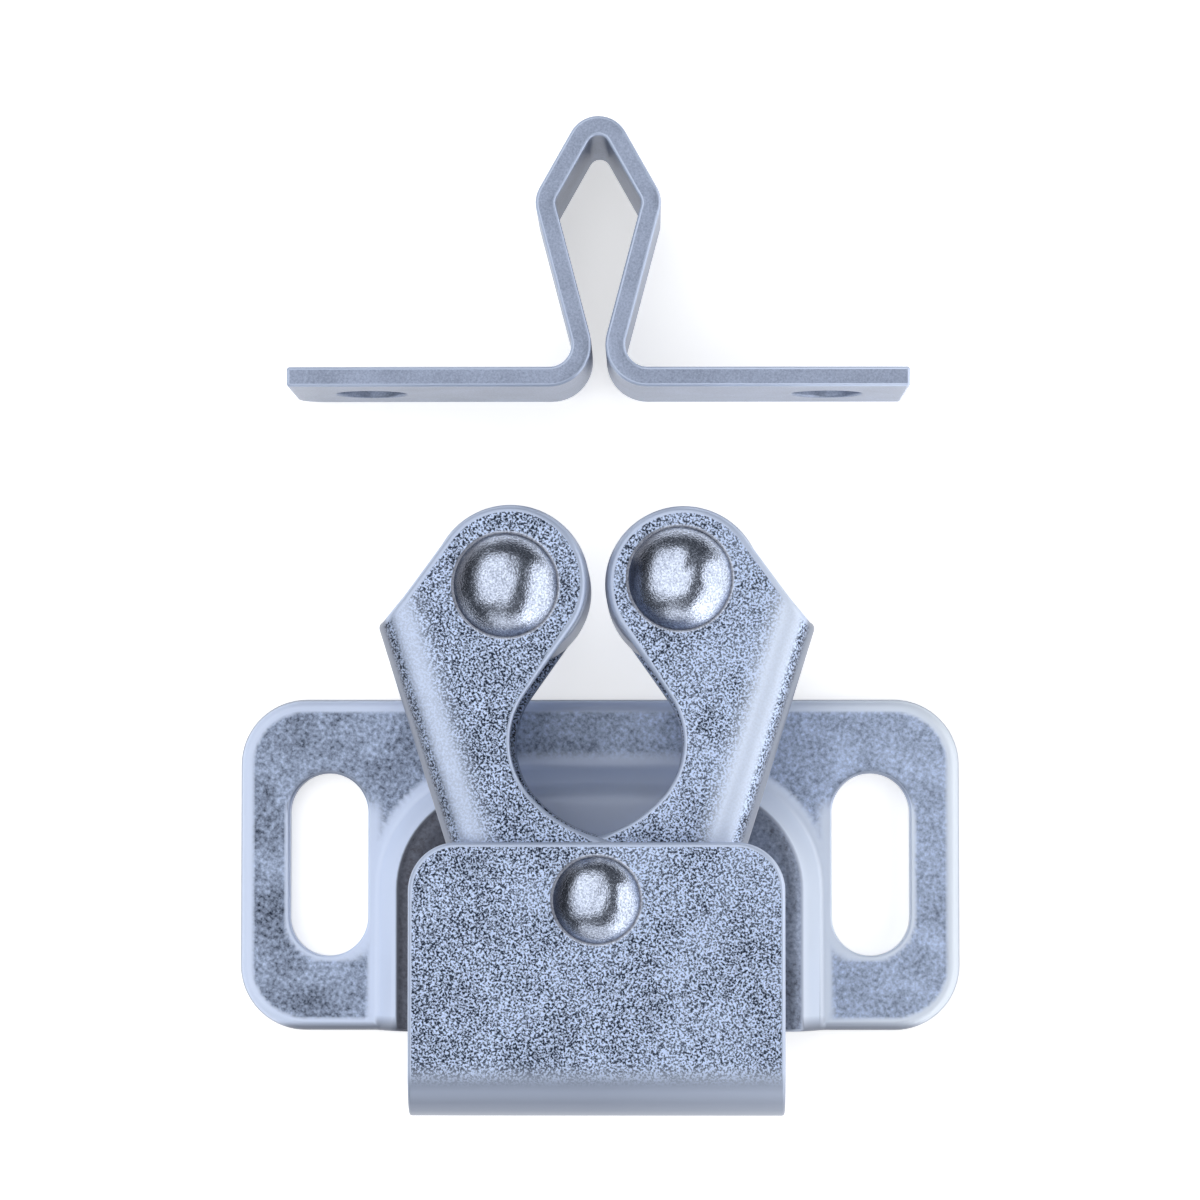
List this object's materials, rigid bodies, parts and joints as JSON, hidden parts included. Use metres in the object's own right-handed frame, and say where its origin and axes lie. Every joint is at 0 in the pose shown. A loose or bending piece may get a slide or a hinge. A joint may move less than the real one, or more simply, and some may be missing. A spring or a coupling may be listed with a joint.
{
  "type": "double roller catch with strike",
  "caption": "Cabinet door roller catch: folded steel bracket with slotted ears, two sprung pivoting jaws with rollers, and its spear-shaped strike.",
  "frame": {"origin": "midway between the two screw slots, on the flat back of the ears", "axes": "+X along the ears, +Y the way out of the jaws towards the strike, +Z out of the mounting face towards the front flap"},
  "size_m": [0.0332, 0.0444, 0.0155],
  "materials": {
    "bracket_zinc": "blue-white zinc plate with a fine grain",
    "jaw_zinc": "blue-white zinc plate with a fine grain",
    "rivet_zinc": "zinc-plated rivet heads, semi-bright",
    "roller_steel": "turned steel, satin",
    "spring_steel": "drawn spring wire",
    "strike_zinc": "blue-white zinc plate, satin"
  },
  "bodies": {
    "base": {"base_bracket": "bracket_zinc", "pivot_rivet": "rivet_zinc", "closing_spring": "spring_steel", "strike": "strike_zinc"},
    "left_arm": {"left_jaw": "jaw_zinc", "left_head_rivet": "rivet_zinc"},
    "right_arm": {"right_jaw": "jaw_zinc", "right_head_rivet": "rivet_zinc"},
    "left_wheel": {"left_roller": "roller_steel"},
    "right_wheel": {"right_roller": "roller_steel"}
  },
  "joints": [
    {"name": "left_jaw_pivot", "type": "hinge", "parent": "base", "child": "left_arm", "pos_m": [0, -0.00135, 0.00792], "axis": [0, 0, 1], "range_deg": [0, 14], "stiffness_Nm_per_rad": 0.08, "springref_deg": -20.05, "deforming": ["closing_spring"]},
    {"name": "right_jaw_pivot", "type": "hinge", "parent": "base", "child": "right_arm", "pos_m": [0, -0.00135, 0.00792], "axis": [0, 0, 1], "range_deg": [-14, 0], "stiffness_Nm_per_rad": 0.08, "springref_deg": 20.05, "deforming": ["closing_spring"]},
    {"name": "left_roller_spin", "type": "hinge", "parent": "left_arm", "child": "left_wheel", "pos_m": [-0.00379, 0.0124, 0.00835], "axis": [0, 0, 1], "continuous": true},
    {"name": "right_roller_spin", "type": "hinge", "parent": "right_arm", "child": "right_wheel", "pos_m": [0.00379, 0.0124, 0.0075], "axis": [0, 0, 1], "continuous": true}
  ]
}
